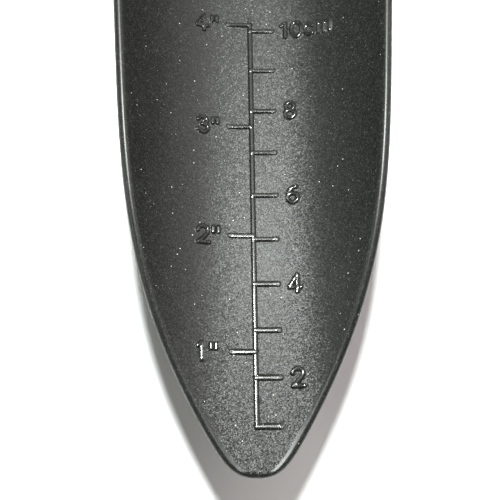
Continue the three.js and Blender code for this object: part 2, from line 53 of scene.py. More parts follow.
# Plan outline as [distance from the tip, half width]: three cubic curves end to end
TIP_CURVE = [(0, 0), (0, 4.44), (1.45, 6.1), (9.12, 10.53)]
SIDE_CURVE = [(9.12, 10.53), (44.7, 31), (65.1, 27), (125, 31.2)]
SHOULDER_CURVE = [(125, 31.2), (138, 32.1), (139, 13), (163, 9.2)]

# Neck and tang
HANDLE_TILT = math.radians(6)
BLADE_FROM_HANDLE = (0, -180, 1.5)  # from the handle's front to the tip's floor
NECK_RADIUS = 9
NECK_ROUND_LENGTH = 14
TANG = (9, 52, 6.4)
NECK_POCKET = (4.6, 7)
NECK_POCKET_ROOF = -2.5
NECK_POCKET_PLACES = (0.66, 0.85)

# Raised scale
RAISED = 0.4
INCH = 25.4
SCALE_START = 10
CM_MARKS = 10
INCH_MARKS = 4
TICK_LENGTH = 5
LINE_FOOT, LINE_TOP = 0.6, 0.4  # half widths of the lines at the surface and on top
STROKE_FOOT, STROKE_TOP = 0.5, 0.32
LINE_CROWN, STROKE_CROWN = 0.04, 0.07  # share of the height that a top drops at its edges
FAR_SLOPE = (0.38, 45)  # extra foot on the far side of a tick at the tip, and where it has gone
RUN_OUT = 3.2  # a faint end of the centre line past the last inch mark

# Handle: [half width, height above the axis, depth below it] for every HANDLE_STEP of length
HANDLE_STEP = 15
HANDLE_SECTIONS = [
    (11.5, 11.5, 11.5),
    (12.6, 12.6, 12.0),
    (12.8, 13.0, 11.4),
    (13.4, 13.8, 11.6),
    (14.4, 14.4, 12.4),
    (15.2, 14.6, 13.0),
    (15.2, 14.0, 13.6),
    (14.4, 12.8, 14.2),
    (12.8, 10.6, 12.8),
]
HANDLE_SQUARENESS = 2.35
SHELL_START, SHELL_END = 5.5, 96
SHELL_WALL = 3
HANDLE_END = 124
DOME_LENGTH = 14
DOME_FULLNESS = 2.6
RIB_PLACES = (25, 40, 60)
EDGE_ROUND = 0.6

COLLAR_FRONT, COLLAR_BACK = -9, SHELL_START - GAP
COLLAR_RADIUS = 11.5
SCREW_PLACES = {"front": 13, "middle": 74, "rear": 88}
SCREW_SHANK, SCREW_HEAD = 1.5, 3
SCREW_HEAD_HEIGHT = 2.2
SCREW_SINK = 4
SCREW_TOP = 6
POST_RADIUS = 4.8
PIN_RADIUS, PIN_PLACE, PIN_RECESS = 2, 40, 0.6
TONGUE = (12, 15, 7)
EYELET_PLACE = 113.5
EYELET_BORE, EYELET_TUBE, EYELET_FLANGE = 5, 6, 7.8
FLANGE_THICKNESS = 1
EYELET_TOP, EYELET_BOTTOM = 10.4, -11.3

# Soft pads: (first, last, half width) along the handle
PADS = {"thumb_pad": (11, 38, 7.5), "palm_pad": (46, 90, 10), "finger_pad": (21, 66, 9)}
PAD_PROUD = 0.5
PAD_DEPTH = 1.3
PAD_RIB_PITCH, PAD_GROOVE = 2.7, 0.45

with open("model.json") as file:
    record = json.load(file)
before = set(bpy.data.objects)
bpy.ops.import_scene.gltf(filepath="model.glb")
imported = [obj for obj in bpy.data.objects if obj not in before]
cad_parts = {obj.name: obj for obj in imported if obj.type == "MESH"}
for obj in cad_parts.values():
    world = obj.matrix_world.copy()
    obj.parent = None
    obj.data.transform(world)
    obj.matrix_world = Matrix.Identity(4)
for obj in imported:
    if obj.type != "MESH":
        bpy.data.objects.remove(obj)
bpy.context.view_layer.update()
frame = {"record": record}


# Placing --------------------------------------------------------------------------------------

def placement(tilt, origin):
    return Matrix.Translation(origin) @ Matrix.Rotation(-tilt, 4, "X")


# The eyelet's middle gives the handle's place, and the blade follows from it
low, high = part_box("hang_eyelet")
eyelet_middle = Vector((0, EYELET_PLACE, (EYELET_TOP + EYELET_BOTTOM) / 2))
turned = Matrix.Rotation(-HANDLE_TILT, 3, "X") @ eyelet_middle
HANDLE = placement(HANDLE_TILT, (low + high) / 2 / MM - turned)
BLADE = placement(BLADE_TILT, HANDLE.to_translation() + Vector(BLADE_FROM_HANDLE))
HANDLE_IN_BLADE = BLADE.inverted() @ HANDLE


def in_metres(matrix):
    result = matrix.copy()
    result.translation *= MM
    return result


# Meshes ---------------------------------------------------------------------------------------

def make_object(name, points, faces, matrix=HANDLE):
    """points are an array of millimetres in the frame that matrix places."""
    mesh = bpy.data.meshes.new(name)
    mesh.from_pydata((np.asarray(points, float) * MM).tolist(), [], faces)
    mesh.validate()
    obj = bpy.data.objects.new(name, mesh)
    bpy.context.scene.collection.objects.link(obj)
    obj.matrix_world = in_metres(matrix)
    return obj


def loft(name, rings, matrix=HANDLE):
    """A closed skin over rings, an array of (rings, points, 3) with the same points in each."""
    rows, count, _ = rings.shape
    corner = np.arange(rows * count).reshape(rows, count)
    onward = np.roll(corner, -1, axis=1)
    quads = np.stack([corner[:-1], onward[:-1], onward[1:], corner[1:]], axis=-1)
    faces = quads.reshape(-1, 4).tolist()
    faces.append(corner[0, ::-1].tolist())
    faces.append(corner[-1].tolist())
    obj = make_object(name, rings.reshape(-1, 3), faces, matrix)
    outward(obj)
    return obj


def outward(obj):
    """Turns the faces to point out of a closed mesh."""
    mesh = obj.data
    mesh.calc_loop_triangles()
    points = np.array([v.co for v in mesh.vertices])
    triangles = np.array([t.vertices for t in mesh.loop_triangles])
    a, b, c = (points[triangles[:, i]] for i in range(3))
    if np.einsum("ij,ij->", a, np.cross(b, c)) < 0:
        mesh.flip_normals()


def turned_grid(profile, segments, axis):
    """Points of a line of (radius, height along the axis), turned round the axis."""
    turn = np.linspace(0, 2 * math.pi, segments, endpoint=False)
    radius, along = np.array(profile, float).T
    across = radius[:, None] * np.cos(turn)
    up = radius[:, None] * np.sin(turn)
    height = np.broadcast_to(along[:, None], across.shape)
    order = {"Y": (across, height, up), "Z": (across, up, height), "X": (height, across, up)}
    return np.stack(order[axis], axis=-1)


def lathe(name, profile, segments=96, matrix=HANDLE, axis="Y"):
    """profile is a closed line of (radius, height along the axis), turned round the axis."""
    grid = turned_grid(profile, segments, axis)
    corner = np.arange(grid.shape[0] * segments).reshape(grid.shape[:2])
    below, onward = np.roll(corner, -1, axis=0), np.roll(corner, -1, axis=1)
    quads = np.stack([corner, onward, np.roll(below, -1, axis=1), below], axis=-1)
    obj = make_object(name, grid.reshape(-1, 3), quads.reshape(-1, 4).tolist(), matrix)
    outward(obj)
    return obj


def turned_solid(name, profile, segments=48, matrix=HANDLE, axis="Z"):
    """profile is an open line of (radius, height) whose two ends are closed by flat faces."""
    return loft(name, turned_grid(profile, segments, axis), matrix)


def block(size, centre, matrix=HANDLE):
    half = np.array(size, float) / 2
    corners = [(x, z) for x, z in ((-1, -1), (1, -1), (1, 1), (-1, 1))]
    rings = [[(x * half[0], y * half[1], z * half[2]) for x, z in corners] for y in (-1, 1)]
    return loft("block", np.array(rings) + np.array(centre, float), matrix)


def post(radius, bottom, top, y, segments=48):
    obj = turned_solid("post", [(radius, bottom), (radius, top)], segments)
    obj.matrix_world = in_metres(HANDLE) @ Matrix.Translation((0, y * MM, 0))
    return obj


def combine(obj, other, operation):
    """Joins, cuts or intersects obj with other, which is used up."""
    modifier = obj.modifiers.new("combine", "BOOLEAN")
    modifier.object, modifier.operation, modifier.solver = other, operation, "MANIFOLD"
    bpy.context.view_layer.update()
    result = obj.evaluated_get(bpy.context.evaluated_depsgraph_get())
    mesh = bpy.data.meshes.new_from_object(result)
    obj.modifiers.clear()
    obj.data = mesh
    bpy.data.objects.remove(other)
    return obj


def join(obj, other):
    return combine(obj, other, "UNION")


def cut(obj, other):
    return combine(obj, other, "DIFFERENCE")


def common(obj, other):
    return combine(obj, other, "INTERSECT")


def smooth(obj, degrees=40):
    obj.data.shade_smooth()
    obj.data.set_sharp_from_angle(angle=math.radians(degrees))


def bezier(points, t):
    a, b, c, d = np.array(points, float)
    t = np.asarray(t, float)[..., None]
    return (1 - t) ** 3 * a + 3 * (1 - t) ** 2 * t * b + 3 * (1 - t) * t**2 * c + t**3 * d


def spline(points, places):
    """A smooth curve through points; places count 0, 1, 2 ... from point to point."""
    p = np.array(points, float)
    p = np.vstack([2 * p[0] - p[1], p, 2 * p[-1] - p[-2]])
    places = np.atleast_1d(np.asarray(places, float))
    i = np.clip(places.astype(int), 0, len(points) - 2)
    t = (places - i)[:, None]
    a, b, c, d = p[i], p[i + 1], p[i + 2], p[i + 3]
    return 0.5 * (
        2 * b + (c - a) * t + (2 * a - 5 * b + 4 * c - d) * t**2 + (3 * b - a - 3 * c + d) * t**3
    )


def ease(t, low=0.0, high=1.0):
    t = np.clip((t - low) / (high - low), 0, 1)
    return t * t * (3 - 2 * t)


# Raised scale ---------------------------------------------------------------------------------

def arc(x, y, rx, ry, first, last, steps=20):
    turn = np.radians(np.linspace(first, last, steps + 1))
    return np.stack([x + rx * np.cos(turn), y + ry * np.sin(turn)], axis=-1)


def curved(*points):
    return spline(points, np.linspace(0, len(points) - 1, 6 * len(points)))


def straight(*points):
    return np.array(points, float)


GLYPHS = {
    "0": [arc(0, 0, 1.15, 1.8, 0, 360)],
    "1": [straight((-0.8, 1.15), (0, 1.85), (0, -1.8))],
    "2": [
        curved(
            (-1.1, 0.85), (-0.75, 1.55), (0.1, 1.8), (0.95, 1.4), (1, 0.45), (0.1, -0.7), (-1.1, -1.8),
        ),
        straight((-1.1, -1.8), (1.2, -1.8)),
    ],
    "3": [
        curved((-1.05, 1.2), (-0.35, 1.8), (0.8, 1.5), (0.9, 0.65), (-0.1, 0.15)),
        curved((-0.1, 0.15), (1, -0.3), (1.05, -1.15), (0.1, -1.8), (-1.1, -1.15)),
    ],
    "4": [straight((0.45, -1.8), (0.45, 1.8), (-1.25, -0.8), (1.2, -0.8))],
    "6": [
        arc(0, -0.75, 1.1, 1.05, 0, 360),
        curved((-1.08, -0.65), (-0.85, 0.55), (-0.2, 1.35), (0.75, 1.8)),
    ],
    "8": [arc(0, 0.92, 0.9, 0.88, 0, 360), arc(0, -0.88, 1.1, 0.92, 0, 360)],
    "c": [arc(0, -0.55, 1.1, 1.25, 50, 310)],
    "m": [
        straight((-1.3, -1.8), (-1.3, 0.75)),
        arc(-0.65, 0, 0.65, 0.7, 180, 0),
        straight((0, 0), (0, -1.8)),
        arc(0.65, 0, 0.65, 0.7, 180, 0),
        straight((1.3, 0), (1.3, -1.8)),
    ],
    '"': [straight((-0.53, 0.65), (-0.53, 1.75)), straight((0.53, 0.65), (0.53, 1.75))],
}


def scale_text():
    """(character, x, y) for all of the scale's characters."""
    text = [(str(cm), 8.55, 10 * cm) for cm in range(2, CM_MARKS, 2)]
    last = 10 * CM_MARKS
    text += [("1", 8, last), ("0", 10.5, last), ("c", 13.4, last), ("m", 16.5, last)]
    for inch in range(1, INCH_MARKS + 1):
        shift = 0.7 if inch == 1 else 0
        text += [(str(inch), -10.75 - shift / 2, inch * INCH), ('"', -8 - shift, inch * INCH)]
    return text


def nearest_on_line(x, y, points):
    """(distance, distance in x) from the nearest place on the line through points."""
    best, across = np.full(x.shape, np.inf), np.zeros(x.shape)
    for (ax, ay), (bx, by) in zip(points[:-1], points[1:]):
        dx, dy = bx - ax, by - ay
        t = np.clip(((x - ax) * dx + (y - ay) * dy) / (dx * dx + dy * dy), 0, 1)
        away_x, away_y = x - ax - t * dx, y - ay - t * dy
        distance = np.hypot(away_x, away_y)
        across = np.where(distance < best, away_x, across)
        best = np.minimum(best, distance)
    return best, across


def line_distance(x, y, points):
    return nearest_on_line(x, y, points)[0]


def profile(distance, foot, top, crown):
    """Height of a stroke from 0 to 1: a crowned top with steep sides."""
    rounded = 1 - crown * np.clip(distance / top, 0, 1) ** 2
    return rounded * np.clip((foot - distance) / (foot - top), 0, 1)


def relief(x, y):
    """How far the scale stands out of the inner floor, from 0 to 1, at each x, y."""
    last = INCH_MARKS * INCH
    distance = line_distance(x, y, straight((0, SCALE_START), (0, last)))
    height = profile(distance, LINE_FOOT, LINE_TOP, LINE_CROWN)
    ticks = [(10 * cm, TICK_LENGTH) for cm in range(1, CM_MARKS + 1)]
    ticks += [(inch * INCH, -TICK_LENGTH) for inch in range(1, INCH_MARKS + 1)]
    for mark, end in ticks:
        near = abs(y - mark) < 1.5
        distance = line_distance(x[near], y[near], straight((0, mark), (end, mark)))
        extra = FAR_SLOPE[0] * max(1 - mark / FAR_SLOPE[1], 0) * (y[near] > mark)
        level = 1 - (wall_middle(x[near]) - wall_middle(end / 2)) / RAISED  # a tick's top is level
        raised = level * profile(distance, LINE_FOOT + extra, LINE_TOP, LINE_CROWN)
        height[near] = np.maximum(height[near], raised)
    run_out = line_distance(x, y, straight((0, last), (0, last + RUN_OUT)))
    fade = np.clip(1 - (y - last) / RUN_OUT, 0, 1)
    height = np.maximum(height, 0.35 * fade * profile(run_out, LINE_TOP, 0.2, LINE_CROWN))
    for character, x0, y0 in scale_text():
        slope = wall_slope(x0)
        near = (abs(x - x0) < 3) & (abs(y - y0) < 3)
        u, v = (x[near] - x0) * math.hypot(1, slope), y[near] - y0
        for line in GLYPHS[character]:
            distance, across = nearest_on_line(u, v, line)
            level = 1 - np.clip(slope * across / RAISED, -0.25, 0.25)  # nearly level tops, as cut
            raised = level * profile(distance, STROKE_FOOT, STROKE_TOP, STROKE_CROWN)
            height[near] = np.maximum(height[near], raised)
    return height


# Blade ----------------------------------------------------------------------------------------

def wall_middle(x):
    return x**2 / (2 * FLOOR_RADIUS) + SIDE_STEEPNESS * x**4 - RIM


def wall_slope(x):
    return x / FLOOR_RADIUS + 4 * SIDE_STEEPNESS * x**3


# Between the grid's lines, on the scale's lines and on its figures
LINE_GRID, FIGURE_GRID = 0.15, 0.2
COARSE_GRID = 1.5
LINES_REACH = 6  # the centre line and the ticks lie within it
FIGURES_REACH = (13, 19)  # left and right of the centre line
RIM_STEPS = 9
OUTER_STEPS = 18
NECK_STEPS = 40


def blade_rows():
    """(distance from the tip, half width) of each row of points, up to the shoulders."""
    tip = bezier(TIP_CURVE, np.linspace(0.06, 1, 26)[:-1] ** 1.5)
    first = TIP_CURVE[-1][0]
    marks = [10 * cm for cm in range(1, CM_MARKS + 1)]
    marks += [inch * INCH for inch in range(1, INCH_MARKS + 1)]
    lines = [mark + i * LINE_GRID for mark in marks for i in range(-5, 8)]
    figures = [i * FIGURE_GRID for i in range(round(BLADE_LENGTH / FIGURE_GRID))]
    figures = [y for y in figures if min(abs(y - middle) for _, _, middle in scale_text()) < 2.8]
    coarse = np.arange(first, BLADE_LENGTH, COARSE_GRID)
    rows = []
    for places, gap in ((lines, 0.1), (figures, 0.14), (coarse, 0.6)):
        for y in places:
            if y >= first and min([abs(y - row) for row in rows], default=gap) >= gap:
                rows.append(y)
    rows.sort()
    side = bezier(SIDE_CURVE, np.linspace(0, 1, 400))
    widths = np.interp(rows, side[:, 0], side[:, 1])
    return np.vstack([tip, np.stack([rows, widths], axis=-1)])


def column_places(reach):
    """Inner face: x of each column, dense and at fixed places under the scale's figures."""
    def half(dense, edge_steps):
        middle, edge = np.minimum(LINES_REACH, 0.7 * reach), np.minimum(dense, 0.9 * reach)
        knots = np.stack([0 * reach, middle, edge, reach], axis=-1)
        step = np.concatenate([
            np.linspace(0, 1, round(LINES_REACH / LINE_GRID) + 1)[:-1],
            np.linspace(1, 2, round((dense - LINES_REACH) / FIGURE_GRID) + 1)[:-1],
            np.linspace(2, 3, edge_steps + 1),
        ])
        return np.array([np.interp(step, [0, 1, 2, 3], row) for row in knots])

    left, right = half(FIGURES_REACH[0], 12), half(FIGURES_REACH[1], 8)
    return np.hstack([-left[:, :0:-1], right])


def wall_ring(rows, inner):
    """Points of the scoop's wall: over the inner face from left to right, round the right rim,
    back under the outer face and round the left rim. inner holds x of the inner face's columns,
    as a share of its half width for rows past the blade's length."""
    y, width = rows.T
    half = np.sqrt(RIM**2 - np.clip(RIM - y, 0, None) ** 2)
    reach = width - half
    past = y > BLADE_LENGTH
    narrowing = np.where(past, (BLADE_HALF_WIDTH - RIM) / reach, 1)

    def slope(x):
        return np.arctan(wall_slope(x * narrowing[:, None]) * narrowing[:, None])

    edge = (reach[:, None] - half[:, None] * np.sin(slope(reach[:, None])))[:, 0]
    surface = column_places(edge) if inner is None else inner * edge[:, None]
    middle = surface
    for _ in range(12):
        middle = surface + half[:, None] * np.sin(slope(middle))
    raised = relief(surface, np.broadcast_to(y[:, None], surface.shape).copy())
    if inner is not None:
        raised = 0 * raised

    steps = np.arange(1, RIM_STEPS) / RIM_STEPS
    side = reach[:, None] * np.ones(RIM_STEPS - 1)
    outer = reach[:, None] * np.linspace(1, -1, OUTER_STEPS + 1)
    x = np.hstack([middle, side, outer, -side])
    turn = np.concatenate([
        np.full(middle.shape[1], 0.5),
        0.5 - steps,
        np.full(OUTER_STEPS + 1, -0.5),
        -0.5 - steps,
    ]) * math.pi
    radius = np.repeat(half[:, None], x.shape[1], axis=1)
    radius[:, : middle.shape[1]] += RAISED * raised
    angle = slope(x) + turn
    z = wall_middle(x * narrowing[:, None]) + radius * np.sin(angle)
    along = np.broadcast_to(y[:, None], x.shape)
    points = np.stack([x + radius * np.cos(angle), along, z], axis=-1)
    return points, surface / edge[:, None]


def round_ring(share):
    """Angles of the same columns on the neck's round section."""
    corner = math.pi / 7  # a seventh of the half circle is rim, on each side
    inner = np.interp(share, [-1, 1], [math.pi - corner, corner])
    steps = np.arange(1, RIM_STEPS) / RIM_STEPS
    right = corner - 2 * corner * steps
    outer = np.linspace(-corner, corner - math.pi, OUTER_STEPS + 1)
    left = corner - math.pi - 2 * corner * steps
    return np.concatenate([inner, right, outer, left])


def neck_centre(t):
    end = HANDLE_IN_BLADE @ Vector((0, -NECK_ROUND_LENGTH, 0))
    tilt = BLADE_TILT - HANDLE_TILT
    before = (end.y - 12 * math.cos(tilt), end.z - 12 * math.sin(tilt))
    return bezier([(BLADE_LENGTH, 10), (BLADE_LENGTH + 14, 12), before, (end.y, end.z)], t)


def blade_piece():
    scoop, shares = wall_ring(blade_rows(), None)
    share = shares[-1]

    t = np.linspace(0, 1, NECK_STEPS + 1)
    shoulder, _ = wall_ring(bezier(SHOULDER_CURVE, t) + (1e-6, 0), share)
    angle = round_ring(share)
    tilt = (BLADE_TILT - HANDLE_TILT) * t[:, None]
    centre = neck_centre(t)
    up = NECK_RADIUS * np.sin(angle)
    across = np.broadcast_to(NECK_RADIUS * np.cos(angle), (len(t), len(angle)))
    neck = np.stack([
        across,
        centre[:, :1] - up * np.sin(tilt),
        centre[:, 1:] + up * np.cos(tilt),
    ], axis=-1)
    blend = ease(t, 1 / 12, 11 / 12)[:, None, None]
    neck = shoulder * (1 - blend) + neck * blend

    stub = []  # the neck's straight end, which stops at the handle with a rounded edge
    for along, inset in ((-12, 0), (-8, 0), (-4, 0), (-0.6, 0), (-0.2, 0.15), (0, 0.5)):
        radius = NECK_RADIUS - inset
        ring = [Vector((radius * math.cos(a), along, radius * math.sin(a))) for a in angle]
        stub.append([HANDLE_IN_BLADE @ p for p in ring])
    blade = loft("blade_moulding", np.concatenate([scoop, neck, np.array(stub)]), BLADE)

    tang = block((TANG[0], TANG[1] + 2, TANG[2]), (0, TANG[1] / 2 - 1, 0))
    cut(tang, post(SCREW_SHANK + GAP, -10, 10, SCREW_PLACES["front"]))
    cut(tang, pin_column(PIN_RADIUS + GAP, 20))
    join(blade, tang)

    heel = BLADE @ Vector((0, HEEL_LAND_Y, 0))
    chamfer = 0.4
    land_profile = [(HEEL_LAND_RADIUS - chamfer, 0), (HEEL_LAND_RADIUS, chamfer)]
    land_profile.append((HEEL_LAND_RADIUS, heel.z - WALL / 4))
    land = turned_solid("land", land_profile, 96, Matrix.Translation((0, heel.y, 0)))
    join(blade, land)
    for t in NECK_POCKET_PLACES:
        y, z = neck_centre(t)
        turn = Matrix.Rotation(BLADE_TILT - HANDLE_TILT, 4, "X")
        place = BLADE @ Matrix.Translation((0, y, z)) @ turn
        for side in (-1, 1):
            centre = (side * (NECK_POCKET[0] / 2 + 1), 0, NECK_POCKET_ROOF - 15)
            cut(blade, block((*NECK_POCKET, 30), centre, place))
    mark_relief(blade)
    smooth(blade, 35)
    return blade


def mark_relief(blade):
    """Stores on each point how far it is up the raised scale and on the rim, for the material."""
    points = np.array([v.co for v in blade.data.vertices]) / MM
    x, y, z = points.T
    middle = x.copy()
    for _ in range(12):
        middle = x + RIM * np.sin(np.arctan(wall_slope(middle)))
    floor = wall_middle(middle) + RIM * np.cos(np.arctan(wall_slope(middle)))
    on_floor = (z > floor - 0.1) & (y < BLADE_LENGTH)
    height = np.where(on_floor, relief(x, y), 0)
    outline = [bezier(TIP_CURVE, np.linspace(0, 1, 60)), bezier(SIDE_CURVE, np.linspace(0, 1, 200))]
    outline = np.vstack(outline)
    width = np.interp(y, outline[:, 0], outline[:, 1])
    rim = np.where(y < BLADE_LENGTH, np.clip((abs(x) - width + 2 * RIM) / 0.4, 0, 1), 0)
    for name, values in (("relief", height), ("rim", rim)):
        attribute = blade.data.attributes.new(name, "FLOAT", "POINT")
        attribute.data.foreach_set("value", values.astype(np.float32))


# Handle ---------------------------------------------------------------------------------------

def handle_size(y):
    """Rows of half width, height above the axis and depth below it, at each y."""
    y = np.atleast_1d(np.asarray(y, float))
    past = np.clip(y - (HANDLE_END - DOME_LENGTH), 0, None) / DOME_LENGTH
    dome = np.sqrt(np.clip(1 - past**DOME_FULLNESS, 0, 1))
    return spline(HANDLE_SECTIONS, y / HANDLE_STEP) * dome[:, None]


def handle_exponent(y):
    return 2 + (HANDLE_SQUARENESS - 2) * ease(np.asarray(y, float), SHELL_START, 30)


def edge_drop(distance, radius=EDGE_ROUND):
    """How far a rounded edge has dropped at a distance in from it."""
    t = np.clip(1 - distance / radius, 0, 1)
    return radius * (1 - np.sqrt(1 - t**2))


def handle_loft(name, offset, stations, first_edge=None, last_edge=None, parting=False):
    """The handle's outline, grown by offset, with its edges rounded where they are named."""
    stations = np.asarray(stations, float)
    near = np.array([0.008, 0.016, 0.026, 0.04, 0.055])
    turn = np.concatenate([np.linspace(0, 2 * math.pi, 96, endpoint=False)] + [
        middle + side * near for middle in (0, math.pi) for side in (-1, 1)
    ])
    turn = -np.sort(turn % (2 * math.pi))
    size = handle_size(stations)
    power = (2 / handle_exponent(stations))[:, None]
    across = np.sign(np.cos(turn)) * abs(np.cos(turn)) ** power
    up = np.sign(np.sin(turn)) * abs(np.sin(turn)) ** power
    tall = np.where(up > 0, size[:, 1:2], size[:, 2:3])
    drop = np.zeros_like(up)
    if parting:
        drop += edge_drop(abs(tall * up) - GAP / 2)
    if first_edge is not None:
        drop += edge_drop(stations - first_edge)[:, None]
    if last_edge is not None:
        drop += edge_drop(last_edge - stations)[:, None]
    rings = np.stack([
        (size[:, :1] + offset - drop) * across,
        np.broadcast_to(stations[:, None], up.shape),
        (tall + offset - drop) * up,
    ], axis=-1)
    return loft(name, rings)


def stations(first, last, step=1.5):
    """Places along the handle, closer together at both edges."""
    near = np.array([0, 0.03, 0.1, 0.2, 0.35, EDGE_ROUND])
    count = round((last - first) / step)
    inside = np.linspace(first + EDGE_ROUND, last - EDGE_ROUND, count + 1)[1:-1]
    return np.concatenate([first + near, inside, last - near[::-1]])


def pin_column(radius, length):
    half = length / 2
    obj = turned_solid("pin", [(radius, -half), (radius, half)], 48, axis="X")
    obj.matrix_world = in_metres(HANDLE) @ Matrix.Translation((0, PIN_PLACE * MM, 0))
    return obj


def pad_column(pad, grow, side):
    """An oblong column with round ends through one side of the handle."""
    first, last, radius = pad[0] - grow, pad[1] + grow, pad[2] + grow
    far_end = arc(0, last - radius, radius, radius, 0, 180, 24)
    near_end = arc(0, first + radius, radius, radius, 180, 360, 24)
    outline = np.vstack([far_end, near_end])
    rings = [np.column_stack([outline, np.full(len(outline), z)]) for z in (0, side * 25)]
    return loft("pad_column", np.array(rings))


def handle_shell(name, side):
    shell = handle_loft(name, 0, stations(SHELL_START, SHELL_END), SHELL_START, SHELL_END, True)
    hollow = (SHELL_START + SHELL_WALL, SHELL_END - SHELL_WALL)
    cut(shell, handle_loft("cavity", -SHELL_WALL, stations(*hollow, 4)))

    ribs = None
    for y in RIB_PLACES:
        thickness = 3 * PIN_RADIUS if y == PIN_PLACE else SHELL_WALL
        rib = block((40, thickness, 40), (0, y, 0))
        ribs = rib if ribs is None else join(ribs, rib)
    for y in SCREW_PLACES.values():
        join(ribs, post(POST_RADIUS, -20, 20, y))
    inside = handle_loft("inside", -SHELL_WALL / 2, stations(SHELL_START + 1, SHELL_END - 1, 4))
    join(shell, common(ribs, inside))
    seat_profile = [(NECK_RADIUS, GAP), (NECK_RADIUS, SHELL_START + 1)]
    join(shell, turned_solid("seat", seat_profile, 96, axis="Y"))

    tang = (TANG[0] + 2 * GAP, TANG[1] + GAP, TANG[2] + 2 * GAP)
    tongue = (TONGUE[0] + 2 * GAP, TONGUE[1] + GAP, TONGUE[2] + 2 * GAP)
    cut(shell, block(tang, (0, tang[1] / 2, 0)))
    cut(shell, block(tongue, (0, SHELL_END + 1 - tongue[1] / 2, 0)))
    cut(shell, pin_column(PIN_RADIUS + GAP, 40))
    for y in SCREW_PLACES.values():
        seat = SCREW_SINK - handle_size(y)[0, 2]
        cut(shell, post(SCREW_SHANK + GAP, -20, SCREW_TOP + GAP, y))
        cut(shell, post(SCREW_HEAD + GAP, -20, seat, y))
    for pad_name, pad in PADS.items():
        if (pad_name != "finger_pad") == (side > 0):
            floor = handle_loft("pocket_floor", -PAD_DEPTH - GAP, stations(SHELL_START, SHELL_END))
            cut(shell, cut(pad_column(pad, GAP, side), floor))
    common(shell, block((60, 200, 40), (0, 50, side * (20 + GAP / 2))))
    smooth(shell)
    return shell


def pad_ribs(name, x, y, inset):
    """Depth of the grooves between a pad's ribs: curved ones for the thumb, slanted pairs for
    the palm, and straight ones for the fingers. A plain border is left round them."""
    bend = {"thumb_pad": 0.05 * x**2, "palm_pad": 0.55 * abs(x), "finger_pad": 0 * x}[name]
    along = y - PADS[name][0] + bend
    wave = 0.5 - 0.5 * np.cos(2 * math.pi * along / PAD_RIB_PITCH)
    return PAD_GROOVE * ease(wave, 0.35, 0.8) * ease(inset, 1.4, 2.2)


def pad_piece(name):
    first, last, half_width = PADS[name]
    side = -1 if name == "finger_pad" else 1
    end = 1 - np.cos(np.linspace(0.03, math.pi / 2, 24))
    y = np.concatenate([
        first + half_width * end,
        np.arange(first + half_width, last - half_width, 0.3)[1:],
        last - half_width * end[::-1],
    ])
    past = np.clip(np.maximum(first + half_width - y, y - (last - half_width)), 0, None)
    width = np.sqrt(half_width**2 - past**2)
    share = np.sin(np.linspace(-math.pi / 2, math.pi / 2, 61))
    x = width[:, None] * share
    y = np.broadcast_to(y[:, None], x.shape)
    from_line = np.hypot(x, np.broadcast_to(past[:, None], x.shape))
    inset = np.clip(half_width - from_line, 0, None)
    size = handle_size(y[:, 0])
    power = handle_exponent(y[:, 0])[:, None]
    tall = size[:, 1:2] if side > 0 else size[:, 2:3]

    def surface(offset):
        share = np.clip(abs(x) / (size[:, :1] + offset), 0, 1)
        return side * (tall + offset) * (1 - share**power) ** (1 / power)

    top = surface(PAD_PROUD - edge_drop(inset, 0.8) - pad_ribs(name, x, y, inset))
    bottom = surface(-PAD_DEPTH)
    rings = np.concatenate([
        np.stack([x, y, top], axis=-1),
        np.stack([x, y, bottom], axis=-1)[:, ::-1],
    ], axis=1)
    obj = loft(name.replace("pad", "grip"), rings)
    smooth(obj, 55)
    return obj


def collar_piece():
    inner, radius = NECK_RADIUS + GAP, COLLAR_RADIUS
    profile = [(inner, COLLAR_FRONT + 0.3), (inner + 0.3, COLLAR_FRONT)]
    # (depth below the radius, distance back from the front): the rounded front edge
    front = [(1.6, 0), (1.2, 0.06), (0.9, 0.25), (0.3, 1.2), (0.1, 1.65), (0, 2.2)]
    profile += [(radius - depth, COLLAR_FRONT + along) for depth, along in front]
    groove = [(0, -0.45), (0.12, -0.32), (0.35, -0.2), (0.35, 0.2), (0.12, 0.32), (0, 0.45)]
    for middle in (COLLAR_BACK - 4.4, COLLAR_BACK - 2.9):  # two turned rings before the handle
        profile += [(radius - depth, middle + along) for depth, along in groove]
    back = [(0, -0.4), (0.1, -0.1), (0.4, 0)]
    profile += [(radius - depth, COLLAR_BACK + along) for depth, along in back]
    profile.append((inner, COLLAR_BACK))
    collar = lathe("collar_ring", profile, 144)
    smooth(collar, 35)
    return collar


def screw_piece(place, y):
    seat = SCREW_SINK - handle_size(y)[0, 2] - GAP
    head = seat - SCREW_HEAD_HEIGHT
    rounded = [(0.9, 0), (0.5, 0.08), (0.15, 0.4), (0, 0.8)]
    profile = [(SCREW_HEAD - inset, head + rise) for inset, rise in rounded]
    profile += [(SCREW_HEAD, seat), (SCREW_SHANK, seat)]
    profile += [(SCREW_SHANK, SCREW_TOP - 2), (0.15, SCREW_TOP)]
    screw = turned_solid(f"screw_{place}", profile, 64)
    screw.matrix_world = in_metres(HANDLE) @ Matrix.Translation((0, y * MM, 0))
    for size in ((3.4, 0.9, 2.4), (0.9, 3.4, 2.4)):
        cut(screw, block(size, (0, y, head)))
    smooth(screw)
    return screw


def pin_piece():
    half = handle_size(PIN_PLACE)[0, 0] - PIN_RECESS
    rounded = [(0.7, 0), (0.35, 0.07), (0.1, 0.25), (0, 0.6)]
    ends = [(PIN_RADIUS - inset, half - drop) for inset, drop in rounded]
    profile = [(radius, -along) for radius, along in ends] + ends[::-1]
    pin = turned_solid("cross_pin", profile, 64, axis="X")
    pin.matrix_world = in_metres(HANDLE) @ Matrix.Translation((0, PIN_PLACE * MM, 0))
    smooth(pin)
    return pin


